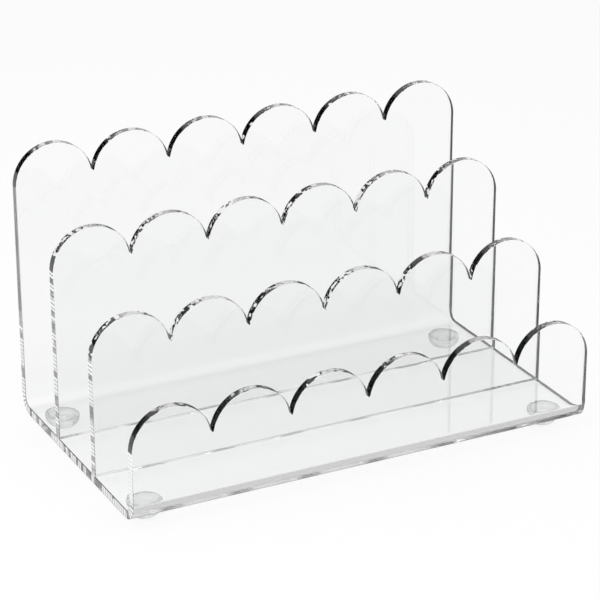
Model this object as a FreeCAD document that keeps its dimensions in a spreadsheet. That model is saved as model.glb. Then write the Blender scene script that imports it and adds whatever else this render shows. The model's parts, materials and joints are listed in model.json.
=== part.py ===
import FreeCAD, Part
import os
import Sketcher
from FreeCAD import Vector

# Desktop file holder in clear acrylic, with three open compartments.
# One sheet is bent up at the front and at the back. Two flat dividers stand on its base,
# cemented there, and four domed feet are stuck under the corners.
# Every panel ends in the same row of scallops, and the panels rise in equal steps to the back.
# Millimetres. X runs along the panels, Y from the front to the back and Z up.
# The origin is on the table, under the middle of the holder.

doc = FreeCAD.newDocument("file_holder")

# Driving dimensions
sheet = doc.addObject("Spreadsheet::Sheet", "Sizes")
DIMENSIONS = (
    # width of one scallop, and how many stand side by side along a panel
    ("scallop_pitch", 38.1),
    ("scallop_count", 6),
    # the cutter's rounding at the foot of the notch between two scallops
    ("notch_radius", 0.25),
    # the acrylic, and the inside radius of its two bends
    ("sheet_thickness", 4.0),
    ("bend_radius", 4.5),
    # clear depth of one compartment, from panel to panel
    ("compartment_depth", 38.1),
    # top of the front panel above the underside of the base, and the rise to the next panel
    ("front_height", 52.5),
    ("panel_rise", 26.0),
    # the foot: a dome with a short upright rim and a small flat to stand on
    ("foot_radius", 7.75),
    ("foot_flat_radius", 2.75),
    ("foot_height", 5.6),
    ("foot_rim", 0.6),
    # clear space from a foot to the base's open end, and to the start of the bend
    ("foot_end_margin", 4.75),
    ("foot_bend_margin", 1.25),
    # the film that holds a foot, which stops short of the foot's rim
    ("adhesive_thickness", 0.15),
    ("adhesive_margin", 0.25),
)
for row, (alias, number) in enumerate(DIMENSIONS, start=1):
    sheet.set(f"A{row}", alias)
    sheet.set(f"B{row}", str(number))
    sheet.setAlias(f"B{row}", alias)
doc.recompute()


def size(alias):
    """A driving dimension as a plain number, for where a sketch's lines are first drawn."""
    return float(sheet.get(alias))


# The panels in order from the front, and the middle of that row, counted from the first
PANELS = ("front_panel", "front_divider", "rear_divider", "back_panel")
MIDDLE_OF_ROW = (len(PANELS) - 1) / 2

# The same lengths are written twice: as an expression, which drives the model,
# and as a number, which is where a sketch's points are first put.
WIDTH = "(Sizes.scallop_pitch * Sizes.scallop_count)"
PANEL_SPACING = "(Sizes.compartment_depth + Sizes.sheet_thickness)"
HALF_DEPTH = f"({MIDDLE_OF_ROW} * {PANEL_SPACING} + Sizes.sheet_thickness / 2)"
UNDERSIDE = "(Sizes.foot_height + Sizes.adhesive_thickness)"
BASE_TOP = f"({UNDERSIDE} + Sizes.sheet_thickness)"
OUTER_BEND = "(Sizes.bend_radius + Sizes.sheet_thickness)"
BEND_TOP = f"({UNDERSIDE} + {OUTER_BEND})"

width = size("scallop_pitch") * size("scallop_count")
panel_spacing = size("compartment_depth") + size("sheet_thickness")
half_depth = MIDDLE_OF_ROW * panel_spacing + size("sheet_thickness") / 2
underside = size("foot_height") + size("adhesive_thickness")
base_top = underside + size("sheet_thickness")
outer_bend = size("bend_radius") + size("sheet_thickness")
bend_top = underside + outer_bend


def panel_middle(panel):
    """Y of a panel's middle plane, as an expression."""
    return f"({PANELS.index(panel) - MIDDLE_OF_ROW} * {PANEL_SPACING})"


def panel_top(panel):
    """Height of a panel's scallops above the table, as an expression."""
    return f"({UNDERSIDE} + Sizes.front_height + {PANELS.index(panel)} * Sizes.panel_rise)"


def panel_top_number(panel):
    """The same height as a number."""
    return underside + size("front_height") + PANELS.index(panel) * size("panel_rise")


# Points of a line or an arc, as constraints name them
START, END, CENTRE = 1, 2, 3
# Where a constraint measures from: the sketch's own origin
ORIGIN = (-1, 1)


def new_body(label):
    """An empty body whose label names its file."""
    body = doc.addObject("PartDesign::Body", label)
    body.Label = label
    return body


def new_sketch(body, name, plane):
    """A sketch on one of the body's own origin planes."""
    sketch = body.newObject("Sketcher::SketchObject", name)
    support = [item for item in body.Origin.OriginFeatures if item.Role == plane]
    sketch.AttachmentSupport = [(support[0], "")]
    sketch.MapMode = "FlatFace"
    return sketch


def bind(sketch, constraint, name, expression):
    """Add a constraint and drive it from the sheet."""
    index = sketch.addConstraint(constraint)
    sketch.renameConstraint(index, name)
    sketch.setExpression(f"Constraints.{name}", expression)


def place_point(sketch, geometry, point, name, across, up):
    """Hold a point at a distance across and up from the sketch's origin."""
    here = sketch.getPoint(geometry, point)
    bind(sketch, Sketcher.Constraint("DistanceX", *ORIGIN, geometry, point, here.x), f"{name}_across", across)
    bind(sketch, Sketcher.Constraint("DistanceY", *ORIGIN, geometry, point, here.y), f"{name}_up", up)


def arc(centre, radius, first, last):
    """A round stretch about a centre, from the point first anticlockwise to the point last."""
    circle = Part.Circle(centre, Vector(0, 0, 1), radius)
    return Part.ArcOfCircle(circle, circle.parameter(first), circle.parameter(last))


def draw_panel_outline(sketch, bottom, bottom_number, top, top_number):
    """Draw a flat panel seen from the front: straight sides, level bottom, scalloped top.

    A scallop is a half circle as wide as the pitch. Where two meet, the cutter leaves
    a small round notch that touches both, so each inner scallop stops short of a half circle.
    """
    count = int(size("scallop_count"))
    pitch = size("scallop_pitch")
    radius = pitch / 2
    notch = size("notch_radius")
    centre_height = top_number - radius
    notch_rise = ((radius + notch) ** 2 - radius ** 2) ** 0.5
    centres = [Vector(-width / 2 + (i + 0.5) * pitch, centre_height, 0) for i in range(count)]
    notches = [Vector(centre.x + radius, centre_height + notch_rise, 0) for centre in centres[:-1]]

    def touch(centre, notch_centre):
        return centre + (notch_centre - centre) * (radius / (radius + notch))

    scallops = []
    for i, centre in enumerate(centres):
        right = touch(centre, notches[i]) if i < count - 1 else centre + Vector(radius, 0, 0)
        left = touch(centre, notches[i - 1]) if i > 0 else centre - Vector(radius, 0, 0)
        scallops.append(sketch.addGeometry(arc(centre, radius, right, left)))
    bites = []
    for i, notch_centre in enumerate(notches):
        left = touch(centres[i], notch_centre)
        right = touch(centres[i + 1], notch_centre)
        bites.append(sketch.addGeometry(arc(notch_centre, notch, left, right)))
    low_left = Vector(-width / 2, bottom_number, 0)
    low_right = Vector(width / 2, bottom_number, 0)
    left_side = sketch.addGeometry(Part.LineSegment(centres[0] - Vector(radius, 0, 0), low_left))
    floor = sketch.addGeometry(Part.LineSegment(low_left, low_right))
    right_side = sketch.addGeometry(Part.LineSegment(low_right, centres[-1] + Vector(radius, 0, 0)))

    first = scallops[0]
    place_point(sketch, first, CENTRE, "first_scallop",
                f"-{WIDTH} / 2 + Sizes.scallop_pitch / 2", f"{top} - Sizes.scallop_pitch / 2")
    bind(sketch, Sketcher.Constraint("Radius", first, radius), "scallop_radius", "Sizes.scallop_pitch / 2")
    for i, (one, following) in enumerate(zip(scallops, scallops[1:])):
        sketch.addConstraint(Sketcher.Constraint("Equal", one, following))
        sketch.addConstraint(Sketcher.Constraint("Horizontal", one, CENTRE, following, CENTRE))
        bind(sketch, Sketcher.Constraint("DistanceX", one, CENTRE, following, CENTRE, pitch),
             f"pitch_{i}", "Sizes.scallop_pitch")
        # a scallop's arc runs anticlockwise, so its start is at its right
        sketch.addConstraint(Sketcher.Constraint("Tangent", one, START, bites[i], START))
        sketch.addConstraint(Sketcher.Constraint("Tangent", bites[i], END, following, END))
        bind(sketch, Sketcher.Constraint("Radius", bites[i], notch), f"notch_{i}", "Sizes.notch_radius")
    sketch.addConstraint(Sketcher.Constraint("Vertical", left_side))
    sketch.addConstraint(Sketcher.Constraint("Vertical", right_side))
    sketch.addConstraint(Sketcher.Constraint("Horizontal", floor))
    sketch.addConstraint(Sketcher.Constraint("Tangent", scallops[0], END, left_side, START))
    sketch.addConstraint(Sketcher.Constraint("Coincident", left_side, END, floor, START))
    sketch.addConstraint(Sketcher.Constraint("Coincident", floor, END, right_side, START))
    sketch.addConstraint(Sketcher.Constraint("Tangent", right_side, END, scallops[-1], START))
    bind(sketch, Sketcher.Constraint("DistanceY", *ORIGIN, floor, START, bottom_number), "bottom", bottom)


def add_panel(body, panel, bottom, bottom_number):
    """Add an upright panel to a body, as thick as the sheet, on its own middle plane."""
    sketch = new_sketch(body, f"{panel}_outline", "XZ_Plane")
    # the sketch looks along +Y, so its own depth axis points to the front
    sketch.setExpression("AttachmentOffset.Base.z", f"-{panel_middle(panel)}")
    draw_panel_outline(sketch, bottom, bottom_number, panel_top(panel), panel_top_number(panel))
    pad = body.newObject("PartDesign::Pad", f"{panel}_pad")
    pad.Profile = sketch
    pad.SideType = "Symmetric"
    pad.setExpression("Length", "Sizes.sheet_thickness")
    return pad


def draw_base_and_bends(sketch):
    """Draw the base seen from the open end, with a quarter bend up at its front and back."""
    inner_half = half_depth - size("sheet_thickness")
    flat = half_depth - outer_bend
    front_outer = Vector(-half_depth, bend_top, 0)
    front_inner = Vector(-inner_half, bend_top, 0)
    back_inner = Vector(inner_half, bend_top, 0)
    back_outer = Vector(half_depth, bend_top, 0)
    front_axis = Vector(-flat, bend_top, 0)
    back_axis = Vector(flat, bend_top, 0)
    low_front = Vector(-flat, underside, 0)
    low_back = Vector(flat, underside, 0)
    top_front = Vector(-flat, base_top, 0)
    top_back = Vector(flat, base_top, 0)

    bottom = sketch.addGeometry(Part.LineSegment(low_front, low_back))
    back_out = sketch.addGeometry(arc(back_axis, outer_bend, low_back, back_outer))
    back_end = sketch.addGeometry(Part.LineSegment(back_outer, back_inner))
    back_in = sketch.addGeometry(arc(back_axis, size("bend_radius"), top_back, back_inner))
    top = sketch.addGeometry(Part.LineSegment(top_back, top_front))
    front_in = sketch.addGeometry(arc(front_axis, size("bend_radius"), front_inner, top_front))
    front_end = sketch.addGeometry(Part.LineSegment(front_inner, front_outer))
    front_out = sketch.addGeometry(arc(front_axis, outer_bend, front_outer, low_front))

    def join(kind, one, one_point, other, other_point):
        sketch.addConstraint(Sketcher.Constraint(kind, one, one_point, other, other_point))

    join("Tangent", bottom, END, back_out, START)
    join("Coincident", back_out, END, back_end, START)
    join("Coincident", back_end, END, back_in, END)
    join("Tangent", back_in, START, top, START)
    join("Tangent", top, END, front_in, END)
    join("Coincident", front_in, START, front_end, START)
    join("Coincident", front_end, END, front_out, START)
    join("Tangent", front_out, END, bottom, START)
    join("Coincident", back_in, CENTRE, back_out, CENTRE)
    join("Coincident", front_in, CENTRE, front_out, CENTRE)
    for line in (bottom, back_end, top, front_end):
        sketch.addConstraint(Sketcher.Constraint("Horizontal", line))
    # each bend is a full quarter: its ends are level with its axis
    sketch.addConstraint(Sketcher.Constraint("Horizontal", back_out, END, back_out, CENTRE))
    sketch.addConstraint(Sketcher.Constraint("Horizontal", front_out, START, front_out, CENTRE))
    for bend, name in ((back_in, "back_bend"), (front_in, "front_bend")):
        bind(sketch, Sketcher.Constraint("Radius", bend, size("bend_radius")), name, "Sizes.bend_radius")
    bind(sketch, Sketcher.Constraint("Radius", back_out, outer_bend), "back_outside", OUTER_BEND)
    place_point(sketch, back_out, END, "back_face", HALF_DEPTH, BEND_TOP)
    bind(sketch, Sketcher.Constraint("DistanceX", *ORIGIN, front_out, START, -half_depth), "front_face",
         f"-{HALF_DEPTH}")


def build_bent_sheet():
    """The one bent sheet: base, front panel and back panel."""
    body = new_body("bent_sheet")
    profile = new_sketch(body, "base_profile", "YZ_Plane")
    draw_base_and_bends(profile)
    base = body.newObject("PartDesign::Pad", "base_pad")
    base.Profile = profile
    base.SideType = "Symmetric"
    base.setExpression("Length", WIDTH)
    add_panel(body, "front_panel", BEND_TOP, bend_top)
    body.Tip = add_panel(body, "back_panel", BEND_TOP, bend_top)
    return body


def build_divider(label):
    """A flat divider whose square bottom edge is cemented to the top of the base."""
    body = new_body(label)
    body.Tip = add_panel(body, label, BASE_TOP, base_top)
    return body


def draw_foot_profile(sketch):
    """Draw half of a foot's section, from its axis out: flat, dome, rim and top."""
    radius = size("foot_radius")
    flat = size("foot_flat_radius")
    height = size("foot_height")
    shoulder = height - size("foot_rim")
    run = radius - flat
    dome = (run ** 2 + shoulder ** 2) / (2 * run)
    axis_low = Vector(0, 0, 0)
    flat_end = Vector(flat, 0, 0)
    rim_low = Vector(radius, shoulder, 0)
    rim_high = Vector(radius, height, 0)
    axis_high = Vector(0, height, 0)

    stand = sketch.addGeometry(Part.LineSegment(axis_low, flat_end))
    curve = sketch.addGeometry(arc(Vector(radius - dome, shoulder, 0), dome, flat_end, rim_low))
    rim = sketch.addGeometry(Part.LineSegment(rim_low, rim_high))
    top = sketch.addGeometry(Part.LineSegment(rim_high, axis_high))
    axis = sketch.addGeometry(Part.LineSegment(axis_high, axis_low))
    sketch.addConstraint(Sketcher.Constraint("Coincident", stand, START, *ORIGIN))
    sketch.addConstraint(Sketcher.Constraint("Coincident", stand, END, curve, START))
    sketch.addConstraint(Sketcher.Constraint("Tangent", curve, END, rim, START))
    sketch.addConstraint(Sketcher.Constraint("Coincident", rim, END, top, START))
    sketch.addConstraint(Sketcher.Constraint("Coincident", top, END, axis, START))
    sketch.addConstraint(Sketcher.Constraint("Coincident", axis, END, stand, START))
    sketch.addConstraint(Sketcher.Constraint("Horizontal", stand))
    sketch.addConstraint(Sketcher.Constraint("Vertical", rim))
    sketch.addConstraint(Sketcher.Constraint("Horizontal", top))
    sketch.addConstraint(Sketcher.Constraint("Vertical", axis))
    bind(sketch, Sketcher.Constraint("DistanceX", *ORIGIN, stand, END, flat), "flat",
         "Sizes.foot_flat_radius")
    bind(sketch, Sketcher.Constraint("DistanceY", rim, START, rim, END, size("foot_rim")), "rim",
         "Sizes.foot_rim")
    place_point(sketch, rim, END, "rim_top", "Sizes.foot_radius", "Sizes.foot_height")


def foot_centre(across, along):
    """X and Y of a foot's axis, as expressions; across and along are -1 or 1."""
    from_middle = f"({WIDTH} / 2 - Sizes.foot_end_margin - Sizes.foot_radius)"
    from_centre = f"({HALF_DEPTH} - {OUTER_BEND} - Sizes.foot_bend_margin - Sizes.foot_radius)"
    return f"{across} * {from_middle}", f"{along} * {from_centre}"


def build_foot(corner, across, along):
    """A domed foot with its flat on the table."""
    body = new_body(f"foot_{corner}")
    profile = new_sketch(body, f"foot_profile_{corner}", "XZ_Plane")
    draw_foot_profile(profile)
    turn = body.newObject("PartDesign::Revolution", f"foot_turn_{corner}")
    turn.Profile = profile
    turn.ReferenceAxis = (profile, ["V_Axis"])
    body.Tip = turn
    x, y = foot_centre(across, along)
    body.setExpression("Placement.Base.x", x)
    body.setExpression("Placement.Base.y", y)
    return body


def build_adhesive(corner, across, along):
    """The disc of clear film between a foot and the underside of the base."""
    disc = doc.addObject("Part::Cylinder", f"foot_adhesive_{corner}")
    disc.Label = f"foot_adhesive_{corner}"
    disc.setExpression("Radius", "Sizes.foot_radius - Sizes.adhesive_margin")
    disc.setExpression("Height", "Sizes.adhesive_thickness")
    x, y = foot_centre(across, along)
    disc.setExpression("Placement.Base.x", x)
    disc.setExpression("Placement.Base.y", y)
    disc.setExpression("Placement.Base.z", "Sizes.foot_height")
    return disc


CORNERS = (
    ("front_left", -1, -1),
    ("front_right", 1, -1),
    ("back_left", -1, 1),
    ("back_right", 1, 1),
)

sub_parts = [
    build_bent_sheet(),
    build_divider("front_divider"),
    build_divider("rear_divider"),
]
for corner, across, along in CORNERS:
    sub_parts.append(build_foot(corner, across, along))
    sub_parts.append(build_adhesive(corner, across, along))
doc.recompute()

for item in doc.Objects:
    if "Invalid" in item.State or "Error" in item.State:
        raise RuntimeError(f"{item.Label} could not be built: {item.State}")
for part in sub_parts:
    if part.Shape.isNull() or not part.Shape.isValid():
        raise RuntimeError(f"{part.Label} has no valid shape")
    if len(part.Shape.Solids) != 1:
        raise RuntimeError(f"{part.Label} is not one solid")

os.makedirs("parts", exist_ok=True)
for part in sub_parts:
    part.Shape.exportStep(os.path.join("parts", f"{part.Label}.step"))
    box = part.Shape.BoundBox
    print(f"{part.Label}: {box.XLength:.2f} x {box.YLength:.2f} x {box.ZLength:.2f} mm, "
          f"Z {box.ZMin:.2f} to {box.ZMax:.2f}, volume {part.Shape.Volume:.1f} mm3")
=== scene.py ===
# %% [markdown]
# # A desktop file holder in clear acrylic
# The real holder has one clear sheet, bent up at the front and at the back. Two dividers are
# cemented on its base, and four soft clear feet stick to its underside. Every panel ends in a
# row of six scallops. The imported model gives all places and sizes, so nothing is measured twice.

# %% Load the frame
import json
import math

import bpy
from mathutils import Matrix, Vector

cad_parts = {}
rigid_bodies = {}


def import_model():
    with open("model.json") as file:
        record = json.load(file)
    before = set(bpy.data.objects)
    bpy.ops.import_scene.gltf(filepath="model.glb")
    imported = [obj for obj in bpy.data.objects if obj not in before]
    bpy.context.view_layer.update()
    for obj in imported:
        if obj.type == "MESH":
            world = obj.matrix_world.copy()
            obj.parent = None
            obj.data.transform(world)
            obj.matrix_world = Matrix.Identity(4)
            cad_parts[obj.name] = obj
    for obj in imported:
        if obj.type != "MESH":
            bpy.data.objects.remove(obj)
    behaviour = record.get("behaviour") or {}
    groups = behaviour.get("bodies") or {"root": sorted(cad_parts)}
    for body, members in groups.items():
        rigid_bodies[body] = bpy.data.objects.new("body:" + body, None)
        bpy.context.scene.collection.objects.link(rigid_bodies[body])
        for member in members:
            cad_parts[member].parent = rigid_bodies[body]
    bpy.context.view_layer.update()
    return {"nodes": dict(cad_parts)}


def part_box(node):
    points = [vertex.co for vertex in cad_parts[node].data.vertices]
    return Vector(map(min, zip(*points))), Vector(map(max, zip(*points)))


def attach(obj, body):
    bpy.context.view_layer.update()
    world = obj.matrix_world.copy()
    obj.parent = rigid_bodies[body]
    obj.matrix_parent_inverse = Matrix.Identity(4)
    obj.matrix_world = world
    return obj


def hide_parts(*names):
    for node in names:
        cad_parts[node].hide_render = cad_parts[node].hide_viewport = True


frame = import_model()
print("nodes in the frame:", ", ".join(sorted(frame["nodes"])))

# %% [markdown]
# ## Sizes
# A node's box gives what a ruler would give on the bench: the sheet's thickness is the depth of
# a divider, and one scallop is a sixth of the width. Four small sizes can't be read from a
# box, so they are named here: the bend's inside radius, the cutter's rounding in a notch, the
# polished round on every cut edge and the hair of air that stays over a foot's film.

# %% Read the sizes
sheet_low, sheet_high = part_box("bent_sheet")
front_low, front_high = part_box("front_divider")
rear_low, rear_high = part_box("rear_divider")
SCALLOPS = 6
BEND_RADIUS = 0.0045
NOTCH_RADIUS = 0.00025
EDGE_ROUND = 0.00025
AIR_OVER_FILM = 0.00002

width = sheet_high.x - sheet_low.x
pitch = width / SCALLOPS
thickness = front_high.y - front_low.y
half_depth = (sheet_high.y - sheet_low.y) / 2
underside = sheet_low.z
base_top = front_low.z
rise = rear_high.z - front_high.z
divider_places = {
    "front_divider": (front_low.y + front_high.y) / 2,
    "rear_divider": (rear_low.y + rear_high.y) / 2,
}
print(f"width {width:.4f} m, thickness {thickness:.4f} m, one scallop {pitch:.4f} m")
print(f"the panels rise in steps of {rise:.4f} m")

# %% [markdown]
# ## The camera
# The photograph was taken from the front left, well above the rim, with a long lens: the
# panels' upright edges stay nearly parallel. The view was worked out from the corners and the
# scallops of the object itself. The camera comes first, because it decides what has to be fine.

# %% Place the camera
CAMERA_AZIMUTH = math.radians(-26.95)
CAMERA_ELEVATION = math.radians(23.26)
CAMERA_DISTANCE = 1.148
CAMERA_AIM = Vector((-0.0012, 0.0, 0.0641))
LENS_MM = 150
SENSOR_MM = 36

forward = Vector((
    -math.sin(CAMERA_AZIMUTH) * math.cos(CAMERA_ELEVATION),
    math.cos(CAMERA_AZIMUTH) * math.cos(CAMERA_ELEVATION),
    -math.sin(CAMERA_ELEVATION),
))
lens = bpy.data.cameras.new("camera")
lens.lens = LENS_MM
lens.sensor_width = SENSOR_MM
camera = bpy.data.objects.new("camera", lens)
camera.location = CAMERA_AIM - forward * CAMERA_DISTANCE
camera.rotation_euler = (math.radians(90) - CAMERA_ELEVATION, 0, CAMERA_AZIMUTH)
bpy.context.scene.collection.objects.link(camera)
bpy.context.scene.camera = camera
print("camera at", [round(value, 3) for value in camera.location])

# %% [markdown]
# ## Nodes from Python
# Shapes and finishes here are both node trees. They could be drawn by hand in Blender's node
# editor, but as text they can be read from top to bottom. Two small classes keep them short: a
# Graph adds a node, and a Wire is an output that can be used in a Python expression, so that
# `radius * angle.math("SINE")` adds two Math nodes and links them.


# %% Two classes for node trees
class Graph:
    """A node tree that is filled from Python."""

    def __init__(self, tree):
        self.tree = tree

    def node(self, kind, settings=None, inputs=None, output=0):
        """Add a node: its settings first, then what its sockets hold or are linked to."""
        made = self.tree.nodes.new(kind)
        for name, value in (settings or {}).items():
            setattr(made, name, value)
        for name, value in (inputs or {}).items():
            socket = find_socket(made.inputs, name)
            for item in value if isinstance(value, list) else [value]:
                if isinstance(item, Wire):
                    self.tree.links.new(item.socket, socket)
                else:
                    socket.default_value = item
        return Wire(self, find_socket(made.outputs, output)) if made.outputs else None


class Wire:
    """An output socket with Python's arithmetic."""

    def __init__(self, graph, socket):
        self.graph = graph
        self.socket = socket

    def output(self, name):
        """Another output of the same node."""
        return Wire(self.graph, find_socket(self.socket.node.outputs, name))

    def math(self, operation, *others):
        return calculate(self.graph, operation, self, *others)

    def step(self, start, end):
        """A straight climb from 0 at start to 1 at end, level before and after."""
        climb = (self - start) * (1.0 / (end - start))
        return climb.math("MAXIMUM", 0.0).math("MINIMUM", 1.0)

    def __add__(self, other):
        return calculate(self.graph, "ADD", self, other)

    def __radd__(self, other):
        return calculate(self.graph, "ADD", other, self)

    def __sub__(self, other):
        return calculate(self.graph, "SUBTRACT", self, other)

    def __rsub__(self, other):
        return calculate(self.graph, "SUBTRACT", other, self)

    def __mul__(self, other):
        return calculate(self.graph, "MULTIPLY", self, other)

    def __rmul__(self, other):
        return calculate(self.graph, "MULTIPLY", other, self)

    def __truediv__(self, other):
        return calculate(self.graph, "DIVIDE", self, other)

    def __rtruediv__(self, other):
        return calculate(self.graph, "DIVIDE", other, self)

    def __neg__(self):
        return calculate(self.graph, "MULTIPLY", self, -1.0)

    def __lt__(self, other):
        return calculate(self.graph, "LESS_THAN", self, other)

    def __gt__(self, other):
        return calculate(self.graph, "GREATER_THAN", self, other)


def find_socket(sockets, key):
    """A socket by its number, its identifier or its name, in that order."""
    if isinstance(key, int):
        return sockets[key]
    for socket in sockets:
        if socket.identifier == key:
            return socket
    return sockets[key]


def calculate(graph, operation, *values):
    """A Math node on wires and plain numbers."""
    return graph.node("ShaderNodeMath", {"operation": operation}, dict(enumerate(values)))


# %% Vectors in both kinds of tree
def part(graph, vector, axis):
    """A vector's number along one axis."""
    return graph.node("ShaderNodeSeparateXYZ", {}, {0: vector}, axis)


def parts(graph, vector, axes="XYZ"):
    """A vector's numbers along several axes."""
    return [part(graph, vector, axis) for axis in axes]


def position(graph):
    """Where each point of a mesh lies."""
    return graph.node("GeometryNodeInputPosition", {}, {}, 0)


def combine(graph, x, y, z):
    """A vector from three numbers."""
    return graph.node("ShaderNodeCombineXYZ", {}, {0: x, 1: y, 2: z})


def scaled(graph, vector, factor):
    """A vector made longer or shorter."""
    return graph.node("ShaderNodeVectorMath", {"operation": "SCALE"}, {0: vector, "Scale": factor})


def blend(factor, first, second):
    """A number that goes from first to second with the factor."""
    return first + factor * (second - first)


# %% Start a shape tree, and keep what it makes
SOCKET_KINDS = {
    float: "NodeSocketFloat",
    int: "NodeSocketInt",
    bpy.types.Material: "NodeSocketMaterial",
}


def start_shape(name, sizes):
    """A Geometry Nodes tree with one named input for each size. Returns its graph and inputs."""
    tree = bpy.data.node_groups.new(name, "GeometryNodeTree")
    for label, value in sizes.items():
        tree.interface.new_socket(label, in_out="INPUT", socket_type=SOCKET_KINDS[type(value)])
    tree.interface.new_socket("Geometry", in_out="OUTPUT", socket_type="NodeSocketGeometry")
    graph = Graph(tree)
    entry = tree.nodes.new("NodeGroupInput")
    return graph, {label: Wire(graph, entry.outputs[label]) for label in sizes}


def end_shape(graph, mesh):
    """Give the finished mesh to the tree's output, with every instance made real."""
    real = graph.node("GeometryNodeRealizeInstances", {}, {"Geometry": mesh})
    leave = graph.tree.nodes.new("NodeGroupOutput")
    graph.tree.links.new(real.socket, leave.inputs[0])


def grow(name, tree, sizes):
    """Run a shape tree once and keep its mesh as a plain object, with its place in the mesh."""
    maker = bpy.data.objects.new(f"{name}_maker", bpy.data.meshes.new(name))
    bpy.context.scene.collection.objects.link(maker)
    shape = maker.modifiers.new("shape", "NODES")
    shape.node_group = tree
    for item in tree.interface.items_tree:
        if item.in_out == "INPUT":
            shape[item.identifier] = sizes[item.name]
    normals = maker.modifiers.new("normals", "WEIGHTED_NORMAL")
    normals.mode = "FACE_AREA"
    graph_of_scene = bpy.context.evaluated_depsgraph_get()
    mesh = bpy.data.meshes.new_from_object(
        maker.evaluated_get(graph_of_scene), preserve_all_data_layers=True, depsgraph=graph_of_scene
    )
    mesh.name = name
    bpy.data.objects.remove(maker)
    piece = bpy.data.objects.new(name, mesh)
    bpy.context.scene.collection.objects.link(piece)
    print(f"{name}: {len(mesh.vertices)} points, {len(mesh.polygons)} faces")
    return piece


# %% [markdown]
# ## Clear acrylic
# Polished acrylic bends light by 1.49 and tints it hardly at all. What shows its shape is what
# it does at its cut edges, which carry light along inside the sheet. The faces get faint
# rolling waves and a few hazy wipe marks, because no sheet is optically flat. A Glass shader
# would look the same here, but a Principled one has its own sockets for tint, haze and
# clearness, which other programs know too.
# A lamp's light goes straight through in the shadow, a little weaker where the surface is
# seen edge on. Real acrylic does the same, and a path tracer can't find those paths by itself.

# %% Helpers for materials
WHITE = (1.0, 1.0, 1.0, 1.0)
BLACK = (0.0, 0.0, 0.0, 1.0)


def new_material(name):
    """A material with an empty tree."""
    material = bpy.data.materials.new(name)
    material.use_nodes = True
    material.node_tree.nodes.clear()
    return material, Graph(material.node_tree)


def close_material(graph, shader):
    """Show the finished shader, and say that the material is made."""
    graph.node("ShaderNodeOutputMaterial", {}, {"Surface": shader})
    print("made a material with", len(graph.tree.nodes), "nodes")


def object_place(graph):
    """Where on its piece a point lies."""
    return graph.node("ShaderNodeTexCoord", {}, {}, "Object")


def noise(graph, place, per_metre, detail):
    return graph.node("ShaderNodeTexNoise", {}, {
        "Vector": place, "Scale": per_metre, "Detail": detail,
    })


def bumps(graph, height, strength, distance):
    return graph.node("ShaderNodeBump", {}, {
        "Height": height, "Strength": strength, "Distance": distance,
    })


def transparent(graph, colour):
    return graph.node("ShaderNodeBsdfTransparent", {}, {"Color": colour})


def mix_shaders(graph, factor, first, second):
    return graph.node("ShaderNodeMixShader", {}, {0: factor, 1: first, 2: second})


# %% Let lamps shine through
GRAZING_SHADOW = (0.8, 0.81, 0.81, 1.0)
GRAZING_BLEND = 0.25


def light_passes(graph, shader, tint):
    """Let lamps shine through a clear shader, weaker where the surface is seen edge on."""
    path = graph.node("ShaderNodeLightPath", {}, {}, "Is Shadow Ray")
    through = path.math("MAXIMUM", path.output("Is Diffuse Ray"))
    edge_on = graph.node("ShaderNodeLayerWeight", {}, {"Blend": GRAZING_BLEND}, "Facing")
    tinted = mix_shaders(graph, through, shader, transparent(graph, tint))
    return mix_shaders(graph, through * edge_on, tinted, transparent(graph, GRAZING_SHADOW))


# %% The acrylic's shader
ACRYLIC_IOR = 1.49
ACRYLIC_TINT = (0.98, 0.983, 0.983, 1.0)
FACE_SHADOW = (0.985, 0.988, 0.988, 1.0)
WAVES_PER_METRE = 38.0
WAVE_STRENGTH = 0.01
WAVE_HEIGHT = 0.001
WIPES_PER_METRE = 14.0
WIPES_FROM = 0.55
WIPE_HAZE = 0.05


def clear_face_material():
    """The polished faces of the sheet."""
    material, graph = new_material("clear_acrylic_face")
    place = object_place(graph)
    waves = noise(graph, place, WAVES_PER_METRE, 1.0)
    wipes = noise(graph, place, WIPES_PER_METRE, 4.0)
    shine = graph.node("ShaderNodeBsdfPrincipled", {}, {
        "Base Color": ACRYLIC_TINT,
        "Roughness": (wipes - WIPES_FROM).math("MAXIMUM", 0.0) * WIPE_HAZE,
        "IOR": ACRYLIC_IOR,
        "Transmission Weight": 1.0,
        "Normal": bumps(graph, waves, WAVE_STRENGTH, WAVE_HEIGHT),
    })
    close_material(graph, light_passes(graph, shine, FACE_SHADOW))
    return material


clear_face = clear_face_material()

# %% [markdown]
# ## Cut edges
# A laser leaves its mark on a cut: fine lines across the thickness of the sheet, two millimetres
# apart, and between them cells that came out clear, smoky or frosted. The left end of the front
# panel is the palest, and the upper part of the back panel's is painted plain grey, as painted
# shade. On the rising sides of the curves most cells are painted black, as painted shade for the
# dark that the curved cuts show, and the crowns stay clear. Marks, painted shade and frost lie on
# the outside, so only a ray that comes from outside meets them. The right ends are even, and
# where a ray meets one from inside the sheet it is partly painted black, as painted shade.
# The marks follow the flat sheet, so the shader reads the place that each point had on the
# stock, before anything was bent or stood up. It is kept on the mesh as the attribute
# stock_place. The bent sheet was cut at the stock's start, and each divider came from farther
# along it. Marks could also be painted on each piece by hand, but worked out from the place on
# the stock they need no picture, and no two ends get the same ones. Widths of lines, rims and
# bubbles are given as shares of their cell.

# %% Cells, and where on the cut a ray lands
def cells_along(graph, kind, feature, where, size, jitter):
    """Cells of a size, in space or along a line: the colour of each, or how near its rim is."""
    settings = {"voronoi_dimensions": kind, "feature": feature}
    place = {"W" if kind == "1D" else "Vector": where}
    output = "Color" if feature == "F1" else "Distance"
    return graph.node("ShaderNodeTexVoronoi", settings, {
        **place, "Scale": 1.0 / size, "Randomness": jitter,
    }, output)


def channel(graph, colour, name):
    return graph.node("ShaderNodeSeparateColor", {}, {0: colour}, name)


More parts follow.
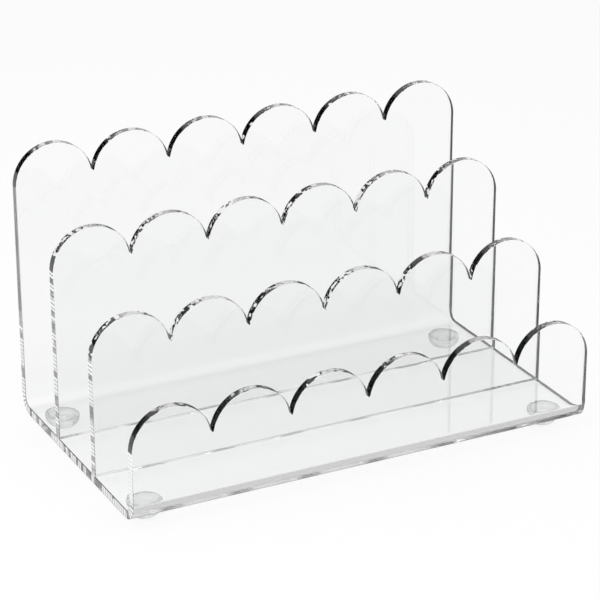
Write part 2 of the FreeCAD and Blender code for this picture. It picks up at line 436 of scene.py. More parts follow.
def meet_cut(graph):
    """If the ray comes from outside, and how far the cut looks to the right and up."""
    facing = graph.node("ShaderNodeNewGeometry", {}, {}, "Normal")
    outside = 1.0 - graph.node("ShaderNodeNewGeometry", {}, {}, "Backfacing")
    # a ray that meets a face from inside is given the normal turned round
    turn = outside * 2.0 - 1.0
    outward, upward = (number * turn for number in parts(graph, facing, "XZ"))
    return outside, outward, upward


# %% The marks on the curves
CURVE_CELL = 0.0016
CELL_JITTER = 0.9
RIM_WIDTH = 0.03
CURVE_RISE = (0.01, 0.04)
CURVE_LEAN = (0.5, 0.56)
LEAN_CHANCE = 0.5
BENT_CLEANER = 0.3
FROSTED_ABOVE = 0.8
CURVE_FROST = 0.8


def curve_marks(graph, stock, bent, uneven, outward, upward):
    """A number by chance for each cell, where the curves get painted shade, and where frosted."""
    tone = cells_along(graph, "3D", "F1", stock, CURVE_CELL, CELL_JITTER)
    chance = channel(graph, tone, "Red")
    lean = outward.math("ABSOLUTE") + chance * LEAN_CHANCE
    # the rising sides of the curves are painted almost black, as painted shade; their crowns stay
    # clear
    shaded_curve = upward.step(*CURVE_RISE) * lean.step(*CURVE_LEAN)
    to_rim = cells_along(graph, "3D", "DISTANCE_TO_EDGE", stock, CURVE_CELL, CELL_JITTER)
    rough = uneven - bent * BENT_CLEANER
    rim = (to_rim < RIM_WIDTH) * (rough > 0.0)
    frosted = (chance + rough > FROSTED_ABOVE).math("MAXIMUM", rim) * CURVE_FROST
    return chance, shaded_curve, frosted


# %% The marks on the left ends
STRAIGHT_CELL = 0.003
STRAIGHT_JITTER = 0.8
PIECE_SHIFT = 0.37
SMOKY_BELOW = 0.3
LEAST_SMOKE = 0.25
MORE_SMOKE = 0.6
LINE_SPACING = 0.002
LINE_JITTER = 0.25
LINE_WIDTH = 0.13
LINE_SMOKE = 0.12
BACK_PLAIN_FROM = 0.105
BACK_FADE = 0.005
# how dark the painted grey shade on the back panel's upper left end is
BACK_PAINTED_GREY = 0.5
FRONT_PALE_FROM = 0.067
FRONT_PALE = 0.6
STRAIGHT_FROST = 0.85


def left_end_marks(graph, stock_x, stock_y, bent, uneven):
    """How much light a left end lets in, with painted grey shade on the upper back panel, and where
    it is frosted.
    """
    back = bent * stock_y.step(BACK_PLAIN_FROM - BACK_FADE, BACK_PLAIN_FROM + BACK_FADE)
    marks = 1.0 - back - bent * (stock_y < -FRONT_PALE_FROM) * FRONT_PALE
    run = stock_y + stock_x * PIECE_SHIFT
    tone = cells_along(graph, "1D", "F1", run, STRAIGHT_CELL, STRAIGHT_JITTER)
    smoky = (channel(graph, tone, "Red") + uneven < SMOKY_BELOW) * marks
    smoke = smoky * (channel(graph, tone, "Green") * MORE_SMOKE + LEAST_SMOKE)
    to_line = cells_along(graph, "1D", "DISTANCE_TO_EDGE", run, LINE_SPACING, LINE_JITTER)
    line = (to_line < LINE_WIDTH) * marks
    # the upper part of the back panel's left end is painted grey, as painted shade
    light = (1.0 - smoke) * (1.0 - line * (1.0 - LINE_SMOKE)) * (1.0 - back * BACK_PAINTED_GREY)
    frosted = (1.0 - smoky) * (1.0 - line) * (1.0 - back) * STRAIGHT_FROST
    return light, frosted


# %% The cut edge's shader
BENT_SHARE = 0.49
STRETCHES_PER_METRE = 55.0
UNEVENNESS = 1.2
LEFT_FROM = -0.5
RIGHT_FROM = 0.9
# how much light the painted shade on the curves lets through
CURVE_PAINTED_SHADE = 0.002
# the share of painted black shade on a right end seen from inside
END_PAINTED_SHADE = 0.62
CELL_BUMP = 0.03
CELL_DEPTH = 0.0002
CELL_ROUGHNESS = 0.02
FROST_ROUGHNESS = 0.4
FROSTED = (0.97, 0.975, 0.975, 1.0)
EDGE_SHADOW = (0.9, 0.905, 0.905, 1.0)


def cut_edge_material():
    """The edges that the cutter left: glossy, in cells, some smoky and some frosted, with painted
    shade on the rising sides of the curves and, seen from inside, on the right ends.
    """
    material, graph = new_material("clear_acrylic_cut_edge")
    outside, outward, upward = meet_cut(graph)
    stock = graph.node("ShaderNodeAttribute", {"attribute_name": "stock_place"}, {}, "Vector")
    stock_x, stock_y = parts(graph, stock, "XY")
    bent = stock_x < width * BENT_SHARE
    stretches = noise(graph, object_place(graph), STRETCHES_PER_METRE, 1.0)
    uneven = (stretches - 0.5) * UNEVENNESS
    leftward = outward < LEFT_FROM
    chance, shaded_curve, curve_frost = curve_marks(graph, stock, bent, uneven, outward, upward)
    light, end_frost = left_end_marks(graph, stock_x, stock_y, bent, uneven)

    # the marks, the painted shade on the curves and the frost lie on the outside only
    clear = blend(shaded_curve, blend(leftward, 1.0, light), CURVE_PAINTED_SHADE)
    colour = graph.node("ShaderNodeMix", {"data_type": "RGBA"}, {
        "Factor_Float": blend(outside, 1.0, clear), "A_Color": BLACK, "B_Color": ACRYLIC_TINT,
    }, "Result_Color")
    shine = graph.node("ShaderNodeBsdfPrincipled", {}, {
        "Base Color": colour,
        "Roughness": chance * CELL_ROUGHNESS,
        "IOR": ACRYLIC_IOR,
        "Transmission Weight": 1.0,
        "Normal": bumps(graph, chance, CELL_BUMP, CELL_DEPTH),
    })
    frost = graph.node("ShaderNodeBsdfPrincipled", {}, {
        "Base Color": FROSTED, "Roughness": FROST_ROUGHNESS,
    })
    frosted = blend(shaded_curve, leftward * end_frost, curve_frost) * outside
    cut = mix_shaders(graph, frosted, shine, frost)

    # a right end seen from inside the sheet is partly painted black, as painted shade
    dark = graph.node("ShaderNodeBsdfDiffuse", {}, {"Color": BLACK})
    painted_end_shade = (outward > RIGHT_FROM) * (1.0 - outside) * END_PAINTED_SHADE
    end = mix_shaders(graph, painted_end_shade, cut, dark)
    close_material(graph, light_passes(graph, end, EDGE_SHADOW))
    return material


cut_edge = cut_edge_material()

# %% [markdown]
# ## The cemented joint
# Solvent melts a divider's foot and the base into one, so light crosses the joint as if there
# were no surface. One mesh for all of it would do that by itself, but then the divider wouldn't
# be a piece of its own. So both meshes stay closed, and the faces that touch are open to light.
# Cement that has set is never quite clear: it leaves a thin white veil and a few tiny bubbles,
# which are drawn on the divider's side only.

# %% The joint's shader
CEMENT = (0.97, 0.97, 0.97, 1.0)
CEMENT_ROUGHNESS = 0.5
CEMENT_WHITE = 0.45
PATCH_WHITE = 0.2
PATCHES_PER_METRE = 60.0
BUBBLES_PER_METRE = 300.0
BUBBLE_RADIUS = 0.08
BUBBLES_FROM = 0.62


def joint_material(name, veiled):
    """A face where two clear parts touch without air, open to light or with a veil of cement."""
    material, graph = new_material(name)
    open_face = transparent(graph, WHITE)
    if not veiled:
        close_material(graph, open_face)
        return material
    place = object_place(graph)
    bubbles = {"Vector": place, "Scale": BUBBLES_PER_METRE}
    to_middle = graph.node("ShaderNodeTexVoronoi", {}, bubbles, "Distance")
    patches = noise(graph, place, PATCHES_PER_METRE, 2.0)
    bubble = (to_middle < BUBBLE_RADIUS) * (patches > BUBBLES_FROM)
    white = bubble.math("MAXIMUM", CEMENT_WHITE + patches * PATCH_WHITE)
    cement = graph.node("ShaderNodeBsdfPrincipled", {}, {
        "Base Color": CEMENT, "Roughness": CEMENT_ROUGHNESS, "Specular IOR Level": 0.0,
    })
    close_material(graph, mix_shaders(graph, white, open_face, cement))
    return material


joint_on_base = joint_material("joint_on_base", False)
joint_on_divider = joint_material("joint_on_divider", True)

# %% [markdown]
# ## How a sheet is cut
# Every panel starts as a flat blank. It could be a filled curve, but a curve's fill has no rows
# to bend along. So it is a grid of narrow columns: six scallops side by side, with the columns
# spaced by equal steps of angle, so that each half circle is smooth. The end of a column lies on
# a half circle, or in the small round notch where two of them meet.
# A blank lies in the XY plane while it is cut: X runs along the panel and Y along the sheet.

# %% The outline of a row of scallops
COLUMNS = 48
TURN_HAIR = 0.001
print(f"a row of scallops has {SCALLOPS * COLUMNS + 1} columns")


def scallop_columns(graph, sizes):
    """Where each column stands and how far its end rises, from a grid with even columns.

    Gives the column's X, its rise above the scallops' centres, and the direction that
    points out of the material there, as an X part and a part along the sheet.
    """
    even = part(graph, position(graph), "X")
    pitch, notch = sizes["Pitch"], sizes["Notch radius"]
    radius = pitch * 0.5
    half = pitch * sizes["Scallops"] * 0.5
    turns = (even + half) / pitch
    # the last column belongs to the last scallop, and the first column to the first
    number = (turns - TURN_HAIR).math("FLOOR").math("MAXIMUM", 0.0)
    angle = (turns - number) * math.pi
    cosine = angle.math("COSINE")
    sine = angle.math("SINE")
    across = (number + 0.5) * pitch - half - cosine * radius
    to_cusp = radius - cosine.math("ABSOLUTE") * radius
    inner = even.math("ABSOLUTE") < half - pitch * 0.25
    touch = notch * radius / (radius + notch)
    in_notch = inner * (to_cusp < touch)
    lean = (to_cusp / notch).math("MINIMUM", 1.0)
    steep = (1.0 - lean * lean).math("SQRT")
    notch_centre = ((radius + notch) * (radius + notch) - radius * radius).math("SQRT")
    on_arc = 1.0 - in_notch
    up = on_arc * sine * radius + in_notch * (notch_centre - steep * notch)
    out_x = on_arc * -cosine - in_notch * cosine.math("SIGN") * lean
    out_along = on_arc * sine + in_notch * steep
    return across, up, out_x, out_along


# %% [markdown]
# ## How a cut edge gets its round
# The blank is made thick by raising its face in small steps. In the first steps the outline
# spreads, in the last it draws in, and that leaves a polished quarter round on both rims. A
# Bevel modifier could do it too, but this way no two rounds run into each other in a narrow
# notch. The direction in which each rim point spreads is kept as the attribute outward.

# %% Raise a face in steps
ROUND_STEPS = 3
WELD = 1e-7
print(f"a polished round has {ROUND_STEPS} steps")


def named(graph, name):
    """A vector that was kept on the mesh under a name."""
    settings = {"data_type": "FLOAT_VECTOR"}
    return graph.node("GeometryNodeInputNamedAttribute", settings, {"Name": name}, "Attribute")


def keep(graph, mesh, name, value, domain="POINT"):
    """Keep a vector on the mesh under a name."""
    settings = {"data_type": "FLOAT_VECTOR", "domain": domain}
    return graph.node("GeometryNodeStoreNamedAttribute", settings, {
        "Geometry": mesh, "Name": name, "Value": value,
    })


def raise_face(graph, mesh, top, lift, spread):
    """Raise the chosen faces and move their rim outwards. Gives the mesh and the new faces."""
    inputs = {"Mesh": mesh, "Offset": combine(graph, 0.0, 0.0, lift), "Individual": False}
    if top is not None:
        inputs["Selection"] = top
    raised = graph.node("GeometryNodeExtrudeMesh", {"mode": "FACES"}, inputs, "Mesh")
    new_top = raised.output("Top")
    moved = graph.node("GeometryNodeSetPosition", {}, {
        "Geometry": raised,
        "Selection": new_top,
        "Offset": scaled(graph, named(graph, "outward"), spread),
    })
    return moved, new_top


def close_solid(graph, raised, face):
    """Shut the underside of what was raised from a face, and weld the two together."""
    bottom = graph.node("GeometryNodeFlipFaces", {}, {"Mesh": face})
    both = graph.node("GeometryNodeJoinGeometry", {}, {"Geometry": [raised, bottom]})
    return graph.node("GeometryNodeMergeByDistance", {}, {"Geometry": both, "Distance": WELD})


def thicken(graph, face, height, rim):
    """A closed solid from a flat face whose outline is already drawn in by the rim's radius."""
    quarter = [math.pi / 2 * step / ROUND_STEPS for step in range(ROUND_STEPS + 1)]
    solid, top = face, None
    for before, after in zip(quarter, quarter[1:]):
        lift = rim * (math.cos(before) - math.cos(after))
        solid, top = raise_face(graph, solid, top, lift, rim * (math.sin(after) - math.sin(before)))
    solid, top = raise_face(graph, solid, top, height - rim * 2.0, 0.0)
    for before, after in zip(quarter, quarter[1:]):
        lift = rim * (math.sin(after) - math.sin(before))
        solid, top = raise_face(graph, solid, top, lift, rim * (math.cos(after) - math.cos(before)))
    return close_solid(graph, solid, face)


# %% Lay out a blank
HAIR = 1e-6
LEVEL_FROM = 0.999


def lay_bands(graph, sizes, bands):
    """The blank as bands of columns, each from one place along the sheet to the next."""
    columns = sizes["Scallops"] * COLUMNS + 1.0
    half = sizes["Pitch"] * sizes["Scallops"] * 0.5
    grids = []
    for start, end, rows in bands:
        grid = graph.node("GeometryNodeMeshGrid", {}, {
            "Size X": half * 2.0,
            "Size Y": end - start,
            "Vertices X": columns,
            "Vertices Y": rows + 1,
        })
        grids.append(graph.node("GeometryNodeTransform", {}, {
            "Geometry": grid, "Translation": combine(graph, 0.0, (start + end) * 0.5, 0.0),
        }))
    joined = graph.node("GeometryNodeJoinGeometry", {}, {"Geometry": grids})
    return graph.node("GeometryNodeMergeByDistance", {}, {"Geometry": joined, "Distance": HAIR})


def cut_blank(graph, sizes, bands, front_end, back_end):
    """Cut a flat blank and give it its thickness.

    An end is a pair: where the end of the grid lies, and where the centres of its scallops
    lie, or None for a straight end. Straight ends get no round, because they are cemented.
    """
    flat = lay_bands(graph, sizes, bands)
    across, up, out_x, out_along = scallop_columns(graph, sizes)
    even, along = parts(graph, position(graph), "XY")
    half = sizes["Pitch"] * sizes["Scallops"] * 0.5
    side = (even.math("ABSOLUTE") > half - HAIR) * even.math("SIGN")
    new_along = along
    out_side, out_end = side, 0.0
    for (edge, centres), sign in ((front_end, -1.0), (back_end, 1.0)):
        if centres is None:
            continue
        at_end = (along * sign) > (edge * sign - HAIR)
        new_along = new_along + at_end * (centres + up * sign - along)
        out_side = out_side + at_end * (out_x - side)
        out_end = at_end * out_along * sign + out_end
    rim = sizes["Edge round"]
    directed = keep(graph, flat, "outward", combine(graph, out_side, out_end, 0.0))
    target = keep(graph, directed, "target", combine(graph, across, new_along, 0.0))
    face = graph.node("GeometryNodeSetPosition", {}, {
        "Geometry": target,
        "Position": named(graph, "target"),
        "Offset": scaled(graph, named(graph, "outward"), -rim),
    })
    solid = thicken(graph, face, sizes["Thickness"], rim)
    here = position(graph)
    moved = graph.node("ShaderNodeVectorMath", {"operation": "ADD"}, {
        0: here, 1: combine(graph, sizes["Stock X"], 0.0, 0.0),
    })
    return keep(graph, keep(graph, solid, "flat_place", here), "stock_place", moved)


def finish_faces(graph, mesh, sizes, joint_faces):
    """Smooth the mesh, and give the faces, the cut edges and the joints their materials."""
    smooth = graph.node("GeometryNodeSetShadeSmooth", {}, {"Geometry": mesh, "Shade Smooth": True})
    level = part(graph, named(graph, "flat_normal"), "Z").math("ABSOLUTE")
    cut_faces = level < LEVEL_FROM
    for material, chosen in (
        (sizes["Face"], None), (sizes["Cut edge"], cut_faces), (sizes["Joint"], joint_faces),
    ):
        inputs = {"Geometry": smooth, "Material": material}
        if chosen is not None:
            inputs["Selection"] = chosen
        smooth = graph.node("GeometryNodeSetMaterial", {}, inputs)
    return smooth


def keep_flat_normal(graph, mesh):
    """Remember which way each face looked while the sheet was flat."""
    normal = graph.node("GeometryNodeInputNormal", {}, {}, 0)
    return keep(graph, mesh, "flat_normal", normal, domain="FACE")


# %% [markdown]
# ## The dividers
# A divider is a blank with scallops at one end and a straight end at the other. It is cut lying
# down and then stood up on the base: what ran along the sheet is now its height. Both dividers
# come from one tree, each with its own place and height.

# %% The divider's tree
SQUARE_ON = 0.99

divider_sizes = {
    "Pitch": pitch,
    "Scallops": SCALLOPS,
    "Notch radius": NOTCH_RADIUS,
    "Thickness": thickness,
    "Edge round": EDGE_ROUND,
    "Bottom": base_top,
    "Top": front_high.z,
    "Middle": divider_places["front_divider"],
    "Stock X": 0.0,
    "Face": clear_face,
    "Cut edge": cut_edge,
    "Joint": joint_on_divider,
}


def divider_tree():
    """A flat panel, stood up on the base."""
    graph, sizes = start_shape("divider", divider_sizes)
    centres = sizes["Top"] - sizes["Pitch"] * 0.5
    bands = [(sizes["Bottom"], centres, 1)]
    blank = cut_blank(graph, sizes, bands, (sizes["Bottom"], None), (centres, centres))
    marked = keep_flat_normal(graph, blank)
    x, along, height = parts(graph, position(graph))
    # the sheet's upper side turns to the front
    y = sizes["Middle"] + sizes["Thickness"] * 0.5 - height
    stood = graph.node("GeometryNodeSetPosition", {}, {
        "Geometry": marked, "Position": combine(graph, x, y, along),
    })
    underneath = part(graph, named(graph, "flat_normal"), "Y") < -SQUARE_ON
    end_shape(graph, finish_faces(graph, stood, sizes, underneath))
    return graph.tree


dividers = []
tree = divider_tree()
for number, (name, middle) in enumerate(divider_places.items(), start=1):
    own = {"Middle": middle, "Top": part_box(name)[1].z, "Stock X": number * width}
    piece = grow(f"{name}_panel", tree, {**divider_sizes, **own})
    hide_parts(name)
    dividers.append(piece)

# %% [markdown]
# ## The bent sheet
# The front panel, the base and the back panel are one blank. It is cut flat, then a strip is
# heated and folded up at each end. The fold is a formula: inside the strip, the way along the
# sheet becomes an angle about the bend's axis, and past the strip it becomes height. A Simple
# Deform modifier bends too, but the formula keeps the thickness and the flat parts exact.

# %% The bent sheet's tree
BEND_ROWS = 20
JOINT_REACH = 0.25

sheet_sizes = {
    "Pitch": pitch,
    "Scallops": SCALLOPS,
    "Notch radius": NOTCH_RADIUS,
    "Thickness": thickness,
    "Edge round": EDGE_ROUND,
    "Bend radius": BEND_RADIUS,
    "Half depth": half_depth,
    "Underside": underside,
    "Front top": front_high.z - rise,
    "Back top": sheet_high.z,
    "Divider middle": divider_places["rear_divider"],
    "Stock X": 0.0,
    "Face": clear_face,
    "Cut edge": cut_edge,
    "Joint": joint_on_base,
}


def bent_sheet_tree():
    """One flat blank, folded up at the front and at the back."""
    graph, sizes = start_shape("bent_sheet", sheet_sizes)
    outer = sizes["Bend radius"] + sizes["Thickness"]
    flat_half = sizes["Half depth"] - outer
    strip = (sizes["Bend radius"] + sizes["Thickness"] * 0.5) * (math.pi / 2)
    bend_top = sizes["Underside"] + outer
    upright = flat_half + strip
    radius = sizes["Pitch"] * 0.5
    front_centres = -(upright + sizes["Front top"] - radius - bend_top)
    back_centres = upright + sizes["Back top"] - radius - bend_top
    inner_edge = sizes["Divider middle"] - sizes["Thickness"] * 0.5
    outer_edge = sizes["Divider middle"] + sizes["Thickness"] * 0.5
    stops = [
        (front_centres, 1),
        (-upright, BEND_ROWS),
        (-flat_half, 1),
        (-outer_edge, 1),
        (-inner_edge, 1),
        (inner_edge, 1),
        (outer_edge, 1),
        (flat_half, BEND_ROWS),
        (upright, 1),
        (back_centres, 1),
    ]
    bands = [(start, end, rows) for (start, rows), (end, _) in zip(stops, stops[1:])]
    front_end, back_end = (front_centres, front_centres), (back_centres, back_centres)
    blank = cut_blank(graph, sizes, bands, front_end, back_end)
    marked = keep_flat_normal(graph, blank)

    x, along, height = parts(graph, position(graph))
    reach = along.math("ABSOLUTE")
    past = (reach - flat_half).math("MAXIMUM", 0.0)
    angle = past.math("MINIMUM", strip) / strip * (math.pi / 2)
    arm = outer - height
    y = along.math("SIGN") * (reach.math("MINIMUM", flat_half) + arm * angle.math("SINE"))
    z = bend_top - arm * angle.math("COSINE") + (past - strip).math("MAXIMUM", 0.0)
    bent = graph.node("GeometryNodeSetPosition", {}, {
        "Geometry": marked, "Position": combine(graph, x, y, z),
    })
    flat = part(graph, named(graph, "flat_place"), "Y")
    up = part(graph, named(graph, "flat_normal"), "Z")
    from_divider = (flat.math("ABSOLUTE") - sizes["Divider middle"]).math("ABSOLUTE")
    joint = (up > SQUARE_ON) * (from_divider < sizes["Thickness"] * JOINT_REACH)
    end_shape(graph, finish_faces(graph, bent, sizes, joint))
    return graph.tree


bent_sheet = grow("bent_sheet_shell", bent_sheet_tree(), sheet_sizes)
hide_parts("bent_sheet")

# %% [markdown]
# ## The feet
# A foot is a cast dome of soft clear rubber, flat where it stands, with a thin film of glue on
# top. Its outline is turned by raising a round face in steps, as for the cut edges. A Screw
# modifier could turn it too, but raised in steps its glued end stays one flat face, which can
# have a material of its own. That face is open to light, because the film wets the rubber.

# %% Soft clear rubber
RUBBER = (0.88, 0.89, 0.89, 1.0)
RUBBER_IOR = 1.5
RUBBER_CLEAR = 0.72
RUBBER_ROUGHNESS = 0.16
RUBBER_SHADOW = (0.8, 0.81, 0.81, 1.0)
GRAIN_PER_METRE = 900.0
GRAIN_ROUGHNESS = 0.1
GRAIN_BUMP = 0.12
GRAIN_DEPTH = 0.0002


def foot_material():
    """Soft clear rubber: a little milky, with a skin that isn't quite smooth."""
    material, graph = new_material("clear_foot_rubber")
    grain = noise(graph, object_place(graph), GRAIN_PER_METRE, 3.0)
    shine = graph.node("ShaderNodeBsdfPrincipled", {}, {
        "Base Color": RUBBER,
        "Roughness": RUBBER_ROUGHNESS + grain * GRAIN_ROUGHNESS,
        "IOR": RUBBER_IOR,
        "Transmission Weight": RUBBER_CLEAR,
        "Normal": bumps(graph, grain, GRAIN_BUMP, GRAIN_DEPTH),
    })
    close_material(graph, light_passes(graph, shine, RUBBER_SHADOW))
    return material


foot_rubber = foot_material()

# %% The film of glue
GLUE = (0.87, 0.88, 0.88, 1.0)
GLUE_IOR = 1.47
GLUE_ROUGHNESS = 0.04
GLUE_SHADOW = (0.92, 0.93, 0.93, 1.0)
SPECKS_PER_METRE = 450.0
SPECK_RADIUS = 0.08
SPECK_ROUGHNESS = 0.3


def film_material():
    """The film of glue: clear, faintly grey, with tiny trapped bubbles."""
    material, graph = new_material("glue_film")
    specks = {"Vector": object_place(graph), "Scale": SPECKS_PER_METRE}
    to_middle = graph.node("ShaderNodeTexVoronoi", {}, specks, "Distance")
    shine = graph.node("ShaderNodeBsdfPrincipled", {}, {
        "Base Color": GLUE,
        "Roughness": GLUE_ROUGHNESS + (to_middle < SPECK_RADIUS) * SPECK_ROUGHNESS,
        "IOR": GLUE_IOR,
        "Transmission Weight": 1.0,
    })
    close_material(graph, light_passes(graph, shine, GLUE_SHADOW))
    return material


glue_film = film_material()

# %% The tree that turns a round piece
SIDES = 72


def round_piece_tree(name, outline, contact_height, sizes):
    """A round solid raised in steps through the outline, a list of radius and height pairs."""
    graph, inputs = start_shape(name, sizes)
    disc = graph.node("GeometryNodeMeshCircle", {"fill_type": "NGON"}, {
        "Vertices": SIDES, "Radius": outline[0][0],
    })
    here = position(graph)
    radial = graph.node("ShaderNodeVectorMath", {"operation": "NORMALIZE"}, {0: here}, "Vector")
    face = keep(graph, disc, "outward", radial)
    solid, top = face, None
    for (radius, height), (next_radius, next_height) in zip(outline, outline[1:]):
        solid, top = raise_face(graph, solid, top, next_height - height, next_radius - radius)
    smooth = graph.node("GeometryNodeSetShadeSmooth", {}, {
        "Geometry": close_solid(graph, solid, face), "Shade Smooth": True,
    })
    painted = graph.node("GeometryNodeSetMaterial", {}, {
        "Geometry": smooth, "Material": inputs["Skin"],
    })
    level = part(graph, position(graph), "Z")
    joined = graph.node("GeometryNodeSetMaterial", {}, {
        "Geometry": painted,
        "Material": inputs["Contact"],
        "Selection": (level - contact_height).math("ABSOLUTE") < WELD,
    })
    centre = combine(graph, inputs["Centre X"], inputs["Centre Y"], inputs["Foot Z"])
    moved = graph.node("GeometryNodeTransform", {}, {"Geometry": joined, "Translation": centre})
    end_shape(graph, moved)
    return graph.tree


# %% The outlines of a foot and of its film
DOME_STEPS = 14
FLAT_RADIUS = 0.00275
RIM_HEIGHT = 0.0006
RIM_ROUND = 0.00015
ROUND_MIDDLE = 0.3

foot_low, foot_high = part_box("foot_front_left")
film_low, film_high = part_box("foot_adhesive_front_left")
foot_radius = (foot_high.x - foot_low.x) / 2
foot_height = foot_high.z - foot_low.z
film_radius = (film_high.x - film_low.x) / 2
film_height = film_high.z - film_low.z


def foot_outline():
    """From the flat that it stands on, up the dome and the short rim, to the glued face."""
    shoulder = foot_height - RIM_HEIGHT
    run = foot_radius - FLAT_RADIUS
    dome = (run ** 2 + shoulder ** 2) / (2 * run)
    sweep = math.asin(shoulder / dome)
    points = []
    for step in range(DOME_STEPS + 1):
        angle = sweep * (1 - step / DOME_STEPS)
        radius = foot_radius - dome + dome * math.cos(angle)
        points.append((radius, shoulder - dome * math.sin(angle)))
    points.append((foot_radius, foot_height - RIM_ROUND))
    middle = RIM_ROUND * ROUND_MIDDLE
    points.append((foot_radius - middle, foot_height - middle))
    points.append((foot_radius - RIM_ROUND, foot_height))
    points.append((film_radius, foot_height))
    return points


film_outline = [(film_radius, 0.0), (film_radius, film_height - AIR_OVER_FILM)]
foot_sizes = {
    "Centre X": 0.0,
    "Centre Y": 0.0,
    "Foot Z": 0.0,
    "Skin": foot_rubber,
    "Contact": joint_on_base,
}
film_sizes = {**foot_sizes, "Skin": glue_film}
foot_tree = round_piece_tree("foot", foot_outline(), foot_height, foot_sizes)
film_tree = round_piece_tree("film", film_outline, 0.0, film_sizes)
print(f"a foot is {foot_radius * 2:.4f} m across and {foot_height:.4f} m high")

# %% Place the feet and their films
CORNERS = ("front_left", "front_right", "back_left", "back_right")
feet, films = [], []
for corner in CORNERS:
    low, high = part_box(f"foot_{corner}")
    middle = (low + high) / 2
    place = {"Centre X": middle.x, "Centre Y": middle.y}
    foot = grow(f"foot_{corner}_dome", foot_tree, {**foot_sizes, **place, "Foot Z": low.z})
    film = grow(f"foot_film_{corner}", film_tree, {**film_sizes, **place, "Foot Z": high.z})
    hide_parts(f"foot_{corner}")
    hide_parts(f"foot_adhesive_{corner}")
    feet.append(foot)
    films.append(film)

# %% [markdown]
# ## Which piece moves with what
# Nothing on the holder moves, so all pieces ride on its one body.

# %% Tie the pieces to the frame
for piece in [bent_sheet, *dividers]:
    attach(piece, "root")
for piece in feet:
    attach(piece, "root")
for piece in films:
    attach(piece, "root")
print("pieces on the body:", 1 + len(dividers) + len(feet) + len(films))

# %% [markdown]
# ## Floor, light and background
# The holder stands on a plain white floor in soft white light. Clear acrylic has no colour of
# its own: its edges are only as dark as what they lead the eye to. Straight through a panel the
# eye meets the white room. Light that was turned inside the sheet, at an edge or in a bend,
# comes from anywhere in the studio: the ceiling and one side are lit, the rest is dark, and the
# floor glows pale in front and grey behind, as painted light and shade. So floor and room look
# different to a ray that was turned inside. Two more things show in reflections only: the floor
# under the base, dimmed as a painted shadow, which draws the dark line along the bend, and a black
# card at the back left, which darkens the scallops as such cards do when a glass is photographed.
# Real lamps and cards could do all this, but they would change how the holder is lit, and it
# should be lit plainly.

# %% Which rays see what
def ray_kinds(graph):
    """What a ray is: one that shows the background, one turned inside the acrylic, a reflection."""
    path = graph.node("ShaderNodeLightPath", {}, {}, "Is Camera Ray")
    through = path.output("Is Transmission Ray")
    glossy = path.output("Is Glossy Ray")
    seen = path.math("MAXIMUM", glossy).math("MAXIMUM", through)
    reflected = glossy * (1.0 - through)
    turned = through * (path.output("Glossy Depth") > 0.5)
    return seen, turned, reflected


# %% The floor
FLOOR_SIZE = 12.0
FLOOR_GLOW = 0.75
FLOOR_FRONT = 0.62
FLOOR_BEHIND = 0.16
FLOOR_TURN = (-0.035, 0.02)
UNDER_BASE_PAINTED_SHADOW = 0.3
PAPER = (0.93, 0.93, 0.93, 1.0)
PAPER_ROUGHNESS = 0.75
PAPER_GRAIN = 0.1
PAPER_GRAIN_PER_METRE = 30.0


def glow(graph, strength):
    """Plain white light."""
    return graph.node("ShaderNodeEmission", {}, {"Color": WHITE, "Strength": strength})


def floor_material():
    """White paper. Part of what is seen of it is its own white, and the rest takes the shadow.
    Reflections see it dimmed under the base, as a painted shadow, and rays turned inside the
    acrylic see painted light on it, pale in front and grey behind.
    """
    material, graph = new_material("pale_floor")
    material.cycles.emission_sampling = "NONE"
    place = object_place(graph)
    grain = noise(graph, place, PAPER_GRAIN_PER_METRE, 3.0)
    paper = graph.node("ShaderNodeBsdfPrincipled", {}, {
        "Base Color": PAPER,
        "Roughness": PAPER_ROUGHNESS + grain * PAPER_GRAIN,
        "Specular IOR Level": 0.0,
    })
    seen, turned, reflected = ray_kinds(graph)
    x, y = parts(graph, place, "XY")
    under = (x.math("ABSOLUTE") < width / 2) * (y.math("ABSOLUTE") < half_depth)
    pale = mix_shaders(graph, seen * FLOOR_GLOW, paper, glow(graph, 1.0))
    # under the base, reflections see the floor dimmed: a painted shadow
    dim = mix_shaders(graph, reflected * under, pale, glow(graph, UNDER_BASE_PAINTED_SHADOW))
    front, behind = glow(graph, FLOOR_FRONT), glow(graph, FLOOR_BEHIND)
    # rays turned inside the acrylic see painted light on the floor, pale in front and grey behind
    beyond = mix_shaders(graph, y.step(*FLOOR_TURN), front, behind)
    close_material(graph, mix_shaders(graph, turned, dim, beyond))
    return material


corner = FLOOR_SIZE / 2
floor_mesh = bpy.data.meshes.new("floor")
floor_corners = [(x * corner, y * corner, 0) for x, y in ((-1, -1), (1, -1), (1, 1), (-1, 1))]
floor_mesh.from_pydata(floor_corners, [], [(0, 1, 2, 3)])
floor_mesh.materials.append(floor_material())
floor = bpy.data.objects.new("floor", floor_mesh)
bpy.context.scene.collection.objects.link(floor)
print(f"the floor is {FLOOR_SIZE} m wide")

# %% The room's light
LIGHT_LEVEL = 0.8
LIT_SIDE = (1.0, -0.08)
LIT_FADE = (-0.2, 0.25)
LOW_LEVEL = 0.32
HIGH_LEVEL = 0.8
HIGH_FADE = (0.3, 0.45)
CEILING_FADE = (0.76, 0.82)
CARD_SIDE = (-0.57, 0.82)
CARD_FADE = (0.78, 0.86)
CARD_TOP = (0.45, 0.6)
CARD_DARK = 0.98


def background(graph, strength):
    """White light from all round."""
    return graph.node("ShaderNodeBackground", {}, {"Color": WHITE, "Strength": strength})


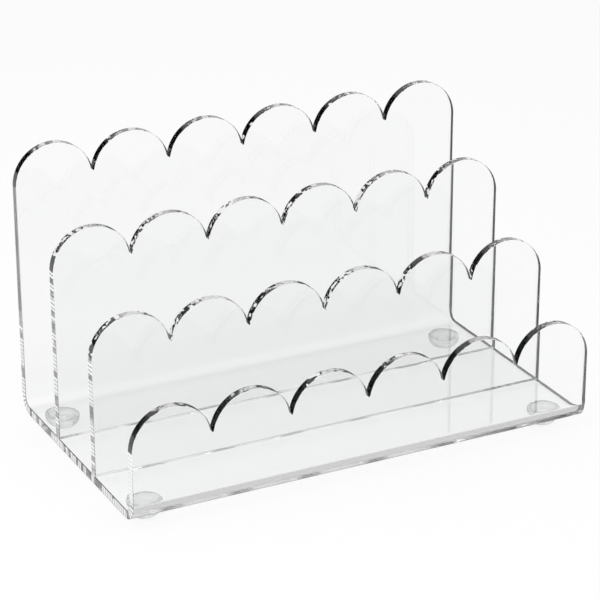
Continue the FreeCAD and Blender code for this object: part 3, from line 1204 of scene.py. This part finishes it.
world = bpy.data.worlds.new("studio")
bpy.context.scene.world = world
world.use_nodes = True
world.node_tree.nodes.clear()
graph = Graph(world.node_tree)
seen, turned, reflected = ray_kinds(graph)
direction = graph.node("ShaderNodeTexCoord", {}, {}, "Generated")
x, y, z = parts(graph, direction)
beside = (x * LIT_SIDE[0] + y * LIT_SIDE[1]).step(*LIT_FADE)
lit = beside * blend(z.step(*HIGH_FADE), LOW_LEVEL, HIGH_LEVEL)
bright = lit.math("MAXIMUM", z.step(*CEILING_FADE) * HIGH_LEVEL)
card = (x * CARD_SIDE[0] + y * CARD_SIDE[1]).step(*CARD_FADE) * (1.0 - z.step(*CARD_TOP))
hidden = (turned * (1.0 - bright)).math("MAXIMUM", reflected * card * CARD_DARK)
mixed = mix_shaders(graph, seen, background(graph, LIGHT_LEVEL), background(graph, 1.0 - hidden))
graph.node("ShaderNodeOutputWorld", {}, {"Surface": mixed})
print("the world has", len(world.node_tree.nodes), "nodes")

# %% A soft lamp
LAMP_WIDTH = 0.9
LAMP_DEPTH = 0.6
LAMP_WATTS = 8.0
LAMP_PLACE = Vector((-0.7, -0.5, 1.3))
LAMP_AIM = Vector((0, 0, 0.06))

lamp = bpy.data.lights.new("soft_lamp", "AREA")
lamp.shape = "RECTANGLE"
lamp.size = LAMP_WIDTH
lamp.size_y = LAMP_DEPTH
lamp.energy = LAMP_WATTS
lamp_object = bpy.data.objects.new("soft_lamp", lamp)
lamp_object.location = LAMP_PLACE
lamp_object.rotation_euler = (LAMP_AIM - LAMP_PLACE).to_track_quat("-Z", "Y").to_euler()
bpy.context.scene.collection.objects.link(lamp_object)
print("lamp at", [round(value, 3) for value in lamp_object.location])

# %% [markdown]
# ## Colour and how far light is followed
# Colours are shown plainly, without a film look. Light may turn very often inside a sheet before
# it leaves, so it is followed for many turns.

# %% Finish
bpy.context.scene.view_settings.view_transform = "Standard"
INSIDE_BOUNCES = 160
bpy.context.scene.cycles.max_bounces = INSIDE_BOUNCES
bpy.context.scene.cycles.transmission_bounces = INSIDE_BOUNCES
bpy.context.scene.cycles.glossy_bounces = INSIDE_BOUNCES
bpy.context.scene.cycles.transparent_max_bounces = INSIDE_BOUNCES
